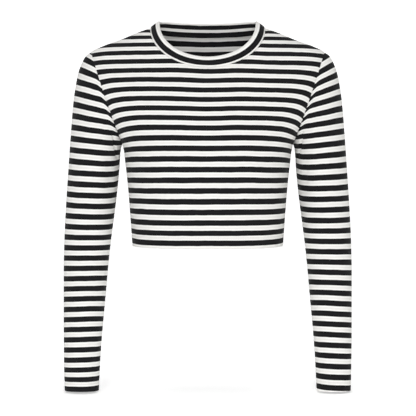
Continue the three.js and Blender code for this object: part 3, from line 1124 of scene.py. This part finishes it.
def new_material(name: str) -> tuple[bpy.types.Material, Callable[..., bpy.types.Node]]:
    """An empty material, and add_node bound to its tree."""
    material = bpy.data.materials.new(name)
    material.use_nodes = True
    material.node_tree.nodes.clear()
    return material, partial(add_node, material.node_tree)


# Cotton jersey is a fine knit of spun yarn. To the eye it is dull and soft: no highlights, upright wales
# with small slanted loops, a light fuzz, and stripes whose edges waver by a loop or so.
@dataclass(frozen=True)
class JerseyFinish:
    """Striped cotton jersey: a matt knit with soft-edged stripes of dyed yarn.

    drift, fuzz, mottle and lint are noises, each with the size of its features in millimetres, its detail
    and its strength. The first two move the stripes' edges by millimetres, mottle changes the tone, and
    lint roughens the knit's height. shade is how far a white stripe turns to the grey named course in a band
    down its middle, between shade_start and shade_end of a repeat from the black's middle.
    """

    name: str
    white: str = "#f6f5f2"
    black: str = "#08080a"
    black_middle: str = "#1c1c1e"
    # grey of a band down the middle of each white stripe
    course: str = "#d9d8d4"
    sheen: str = "#ffffff"
    wale_mm: float = 1.5  # about twice the real 0.8, which is too fine to show
    course_mm: float = 1.1  # about twice the real 0.5, for the same reason
    slant: float = 1.4
    course_height: float = 0.22
    knit_height_mm: float = 0.16
    bump: float = 0.55
    edge_mm: float = 0.5
    shade_start: float = 0.33
    shade_end: float = 0.45
    shade: float = 0.45
    drift: tuple[float, float, float] = (28, 2, 1.3)
    fuzz: tuple[float, float, float] = (1.3, 1, 0.4)
    mottle: tuple[float, float, float] = (2.6, 3, 0.09)
    lint: tuple[float, float, float] = (0.9, 2, 0.7)
    noise_roughness: float = 0.55
    roughness: float = 0.93
    ior: float = 1.45
    specular: float = 0.15
    sheen_weight: float = 0.05
    sheen_roughness: float = 0.45

    def material(self) -> bpy.types.Material:
        """Builds the finish: stripes by the place down the cloth, and loops as a bump."""
        material, add = new_material(self.name)
        place = add("Attribute", attribute_name=CLOTH).outputs["Vector"]
        across, down, _ = add("SeparateXYZ", {0: place}).outputs
        drift, fuzz, mottle, lint = (
            add("TexNoise", {"Vector": place, "Scale": 1 / size, "Detail": detail,
                             "Roughness": self.noise_roughness}).outputs[0]
            for size, detail, _ in (self.drift, self.fuzz, self.mottle, self.lint))
        c = CLOTH_SIZES
        # The count of repeats is moved by the noises, whose mean of a half comes off again, and starts at
        # the middle of a black stripe. Its distance from the nearest whole number picks the yarn.
        moved = add("Math", {0: drift, 1: self.drift[2], 2: down}, operation="MULTIPLY_ADD").outputs[0]
        moved = add("Math", {0: fuzz, 1: self.fuzz[2], 2: moved}, operation="MULTIPLY_ADD").outputs[0]
        start = -(self.drift[2] + self.fuzz[2]) / 2 / c.pitch - c.black_middle
        count = add("Math", {0: moved, 1: 1 / c.pitch, 2: start}, operation="MULTIPLY_ADD").outputs[0]
        from_middle = add("Math", {0: count, 1: 0.5}, operation="PINGPONG").outputs[0]
        half, edge = c.black_share / 2, self.edge_mm / c.pitch
        is_black, in_black, in_white = (
            add("MapRange", {0: from_middle, 1: low, 2: high, 3: at_low, 4: at_high},
                interpolation_type="SMOOTHSTEP").outputs[0]
            for low, high, at_low, at_high in ((half - edge, half + edge, 1, 0), (0, half, 1, 0),
                                               (self.shade_start, self.shade_end, 0, self.shade)))
        # Each white stripe turns grey in a band down its middle, and each black one turns lighter down its
        # middle.
        white, black = (
            add("Mix", {0: factor, 6: linear(first), 7: linear(second)}, data_type="RGBA").outputs[2]
            for factor, first, second in ((in_white, self.white, self.course),
                                          (in_black, self.black, self.black_middle)))
        colour = add("Mix", {0: is_black, 6: white, 7: black}, data_type="RGBA").outputs[2]
        tone = add("Math", {0: mottle, 1: self.mottle[2], 2: 1 - self.mottle[2] / 2},
                   operation="MULTIPLY_ADD").outputs[0]
        tinted = add("VectorMath", {0: colour, "Scale": tone}, operation="SCALE").outputs[0]
        # A wale is one upright rib whose two arms lean towards its middle, and the courses cross it.
        wale = add("Math", {0: across, 1: 1 / self.wale_mm, 2: 0.5}, operation="MULTIPLY_ADD").outputs[0]
        arm = add("Math", {0: wale, 1: 0.5}, operation="PINGPONG").outputs[0]
        course = add("Math", {0: down, 1: self.course_mm}, operation="DIVIDE").outputs[0]
        course = add("Math", {0: arm, 1: self.slant, 2: course}, operation="MULTIPLY_ADD").outputs[0]
        turns = (add("Math", {0: value, 1: turn}, operation="MULTIPLY").outputs[0]
                 for value, turn in ((course, 2 * math.pi), (arm, math.pi)))
        loops, rib = (add("Math", {0: angle}, operation=kind).outputs[0]
                      for angle, kind in zip(turns, ("SINE", "COSINE")))
        height = add("Math", {0: loops, 1: self.course_height, 2: rib}, operation="MULTIPLY_ADD").outputs[0]
        height = add("Math", {0: lint, 1: self.lint[2], 2: height}, operation="MULTIPLY_ADD").outputs[0]
        bump = add("Bump", {"Strength": self.bump, "Distance": self.knit_height_mm * MM, "Height": height})
        shader = add("BsdfPrincipled", {
            "Base Color": tinted,
            "Normal": bump.outputs[0],
            "Roughness": self.roughness,
            "IOR": self.ior,
            "Specular IOR Level": self.specular,
            "Sheen Weight": self.sheen_weight,
            "Sheen Roughness": self.sheen_roughness,
            "Sheen Tint": linear(self.sheen),
        })
        add("OutputMaterial", {"Surface": shader.outputs[0]})
        return material


# Sewing thread is spun polyester, twisted from fine fibres. To the eye each stitch is a small matt bead,
# a little creamier than the cloth, with slanted darker lines of painted shade where the plies meet.
@dataclass(frozen=True)
class ThreadFinish:
    """Spun sewing thread: matt off-white, with the slant of its twist across each stitch drawn as painted
    shade.
    """

    colour: str = "#e9e8e4"
    # painted shade for the grooves where the plies meet
    shade: str = "#bdbbb6"
    twist_mm: float = 0.8  # about twice the real twist, which is too fine to show
    waver: float = 0.4
    roughness: float = 0.75
    shine: float = 0.25

    def material(self) -> bpy.types.Material:
        """Builds the finish: slanted waves of two tones along each stitch, the darker one painted shade
        between the plies.
        """
        material, add = new_material("spun_sewing_thread")
        place = add("Attribute", attribute_name=CLOTH).outputs["Vector"]
        scale = WAVE_REPEAT / self.twist_mm
        twist = add("TexWave", {"Vector": place, "Scale": scale, "Distortion": self.waver})
        # The wave lays painted shade in slanted lines where the plies meet.
        tone = add("Mix", {0: twist.outputs["Fac"], 6: linear(self.shade), 7: linear(self.colour)},
                   data_type="RGBA")
        shader = add("BsdfPrincipled", {"Base Color": tone.outputs[2], "Roughness": self.roughness,
                                        "Specular IOR Level": self.shine})
        add("OutputMaterial", {"Surface": shader.outputs[0]})
        return material


# Painted plaster is chalky. To the eye it has no highlight, so the floor runs into the wall unseen.
@dataclass(frozen=True)
class PlasterFinish:
    """White painted plaster that glows faintly where the photo's ground is pure white.

    glow has, for two steps along Y in metres, where each starts, where it ends and its strength, and
    fade has where the glow begins and ends to weaken to the sides, down to side_glow.
    """

    colour: str = "#ffffff"
    grain: str = "#fbfbfb"
    grain_scale: float = 3.0  # three soft patches across the whole floor, too faint to be seen as spots
    glow: tuple[tuple[float, float, float], ...] = ((-1.4, -0.35, 0.40), (-0.3, 0.5, 0.20))
    fade: tuple[float, float] = (1.1, 2.6)
    side_glow: float = 0.2

    def material(self) -> bpy.types.Material:
        """Builds the finish, whose glow is the two steps added and then faded to the sides."""
        material, add = new_material("painted_plaster_sweep")
        grain = add("TexNoise", {"Scale": self.grain_scale}).outputs[0]
        tone = add("Mix", {0: grain, 6: linear(self.grain), 7: linear(self.colour)}, data_type="RGBA")
        x, y, _ = add("SeparateXYZ", {0: add("TexCoord").outputs["Object"]}).outputs
        steps = {i: add("MapRange", {0: y, 1: start, 2: end, 3: 0.0, 4: strength},
                        interpolation_type="SMOOTHSTEP").outputs[0]
                 for i, (start, end, strength) in enumerate(self.glow)}
        glow = add("Math", steps, operation="ADD").outputs[0]
        aside = add("Math", {0: x}, operation="ABSOLUTE").outputs[0]
        middle = add("MapRange", {0: aside, 1: self.fade[0], 2: self.fade[1], 3: 1.0, 4: self.side_glow},
                     interpolation_type="SMOOTHSTEP").outputs[0]
        glow = add("Math", {0: glow, 1: middle}, operation="MULTIPLY").outputs[0]
        shader = add("BsdfPrincipled", {
            "Base Color": tone.outputs[2],
            "Roughness": 1.0,
            "Specular IOR Level": 0.0,
            "Emission Color": linear(self.colour),
            "Emission Strength": glow,
        })
        add("OutputMaterial", {"Surface": shader.outputs[0]})
        return material


@dataclass(frozen=True)
class Softbox:
    """A square soft light, with its place and edge in millimetres and its power in watts."""

    name: str
    place: tuple[float, float, float]
    edge: float
    power: float


SOFTBOXES = (
    Softbox("front_softbox", (-150, -3800, 1400), 2500, 90),
    Softbox("low_front_softbox", (0, -3300, -300), 2000, 8),
    Softbox("overhead_softbox", (0, -300, 2600), 2000, 24),
)


@dataclass
class Studio:
    """Pale floor and backdrop, soft lights and the camera, at the photo's angle.

    The floor is flat out to flat and bends up by bend_radius to a wall of wall_height. The camera stands
    at distance and height and looks at (centre_x, centre_z) at the top's middle.
    """

    floor_gap: float = 1.0
    flat: float = 4200
    bend_radius: float = 1500
    wall_height: float = 4600
    bend_points: int = 15
    white: str = "#ffffff"
    ambient: float = 0.06
    aim_z: float = -250
    distance: float = 3000
    height: float = -160
    centre_x: float = 0.51
    centre_z: float = -306.0
    shift: float = -0.1
    sensor: float = 36.0
    sight: float = 50000

    def build(self, lowest: float) -> None:
        """Makes the floor, the lights, the world and the camera.

        Args:
            lowest: the lowest height of the top, in millimetres.
        """
        self.backdrop(lowest - self.floor_gap)
        self.lights()
        self.camera()

    def backdrop(self, floor_z: float) -> None:
        """A round floor whose border curves up into a wall, so that a camera on any side stands inside it.

        The points lie on square rings of a grid, and each ring is drawn out to a circle with its own radius
        and height: flat, then a quarter circle, then upright.

        Args:
            floor_z: the floor's height in millimetres.
        """
        bend = np.linspace(0, math.pi / 2, self.bend_points)
        inner = np.array([0, 1 / 3, 2 / 3]) * self.flat
        radius = np.concatenate([inner, self.flat + self.bend_radius * np.sin(bend),
                                 [self.flat + self.bend_radius]])
        height = np.concatenate([0 * inner, self.bend_radius * (1 - np.cos(bend)), [self.wall_height]])
        line = np.arange(1 - len(radius), len(radius))
        i, j = np.meshgrid(line, line, indexing="ij")
        ring = np.maximum(np.abs(i), np.abs(j))
        points = unit(stack(i, j, 0)) * radius[ring][..., None] + stack(0, 0, height[ring] + floor_z)
        number = np.arange(ring.size).reshape(ring.shape)
        sweep = new_object("studio_sweep", points.reshape(-1, 3), grid_quads(number.T).tolist(),
                           np.zeros(points.shape))
        sweep.data.materials.append(PlasterFinish().material())

    def lights(self) -> None:
        """A dim white world, a large softbox above the camera, a weak one below it and one overhead."""
        scene = bpy.context.scene
        scene.world = bpy.data.worlds.new("white_studio")
        scene.world.use_nodes = True
        background = scene.world.node_tree.nodes["Background"]
        background.inputs["Color"].default_value = linear(self.white)
        background.inputs["Strength"].default_value = self.ambient
        for box in SOFTBOXES:
            light = bpy.data.lights.new(box.name, "AREA")
            light.size = box.edge * MM
            light.energy = box.power
            lamp = bpy.data.objects.new(box.name, light)
            scene.collection.objects.link(lamp)
            lamp.location = [p * MM for p in box.place]
            x, y, z = np.array([0, 0, self.aim_z]) - box.place
            lamp.rotation_euler = (math.atan2(math.hypot(x, y), -z), 0, math.atan2(-x, y))
            lamp.visible_camera = False
        scene.view_settings.view_transform = "Standard"
        scene.view_settings.look = "None"

    def camera(self) -> None:
        """A long lens level with the chest, tilted down a little, with a small shift for the rest."""
        camera = bpy.data.cameras.new("camera")
        camera.sensor_width = self.sensor
        camera.lens = self.sensor * self.distance / (PHOTO_PX * PX_MM)
        camera.shift_y = self.shift
        camera.clip_end = self.sight * MM
        down_to_centre = math.atan2(self.height - self.centre_z, self.distance)
        by_shift = math.atan(-self.shift * self.sensor / camera.lens)
        holder = bpy.data.objects.new("camera", camera)
        bpy.context.scene.collection.objects.link(holder)
        holder.location = (self.centre_x * MM, -self.distance * MM, self.height * MM)
        holder.rotation_euler = (math.pi / 2 - down_to_centre + by_shift, 0, 0)
        bpy.context.scene.camera = holder


@dataclass
class CropTop:
    """The whole top: its shape, its pieces and the names that tie them to the frame."""

    body: BodyShape = field(default_factory=BodyShape)
    panel_flat: tuple[float, float] = (455, 385)
    panel_area: float = 132000
    sleeve_flat: tuple[float, float] = (300, 590)
    sleeve_area: float = 125000
    band_flat: tuple[float, float] = (39, 500)
    band_area: float = 39 * 500

    def settle(self, piece: bpy.types.Object, node: str, flat: tuple[float, float],
               area: float, material: bpy.types.Material) -> None:
        """Dresses a cloth, hangs it from the root, hides the plain solid that it stands for and reports it.

        Args:
            piece: the new cloth.
            node: the plain solid that it stands for.
            flat: the cut's width and length in millimetres; not used.
            area: the cut's area in square millimetres; not used.
            material: its finish.
        """
        piece.data.materials.append(material)
        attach(piece, "root")
        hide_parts(node)
        LOG.info("%s stands for %s", piece.name, node)

    def sew(self, cloth: "Panel | Sleeve", name: str, thread: bpy.types.Material) -> bpy.types.Object:
        """Sews a built cloth's hem.

        Args:
            cloth: the panel or sleeve.
            name: the stitches' name.
            thread: their finish.

        Returns:
            The stitches.
        """
        stitches = hem_stitches(name, cloth)
        stitches.data.materials.append(thread)
        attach(stitches, "root")
        LOG.info("%s made", stitches.name)
        return stitches

    def build(self) -> None:
        """Makes every piece in order."""
        jersey = JerseyFinish("striped_cotton_jersey").material()
        band_jersey = JerseyFinish("striped_rib_neckband", wale_mm=1.3).material()
        thread = ThreadFinish().material()
        for side, stripes, folds in ((Side.FRONT, FRONT_STRIPES, FRONT_FOLDS),
                                     (Side.BACK, BACK_STRIPES, BACK_FOLDS)):
            panel = Panel(self.body, side, stripes, folds)
            piece = panel.build()
            name = side.name.lower()
            stitches = self.sew(panel, "hem_stitches_" + name, thread)
            self.settle(piece, name, self.panel_flat, self.panel_area, jersey)
        for hand, folds in ((Hand.RIGHT, RIGHT_SLEEVE_FOLDS), (Hand.LEFT, LEFT_SLEEVE_FOLDS)):
            sleeve = Sleeve(self.body, hand, folds)
            piece = sleeve.build()
            name = hand.name.lower()
            stitches = self.sew(sleeve, "cuff_stitches_" + name, thread)
            self.settle(piece, "sleeve_" + name, self.sleeve_flat, self.sleeve_area, jersey)
        band = Neckband(self.body)
        self.settle(band.build(), "neckband", self.band_flat, self.band_area, band_jersey)


def main() -> None:
    """Builds the top and the studio, and reports each piece."""
    logging.basicConfig(level=logging.INFO, format="%(message)s")
    CropTop().build()
    Studio().build(CAD_BOX[0][2] / MM)


if __name__ == "__main__":
    main()
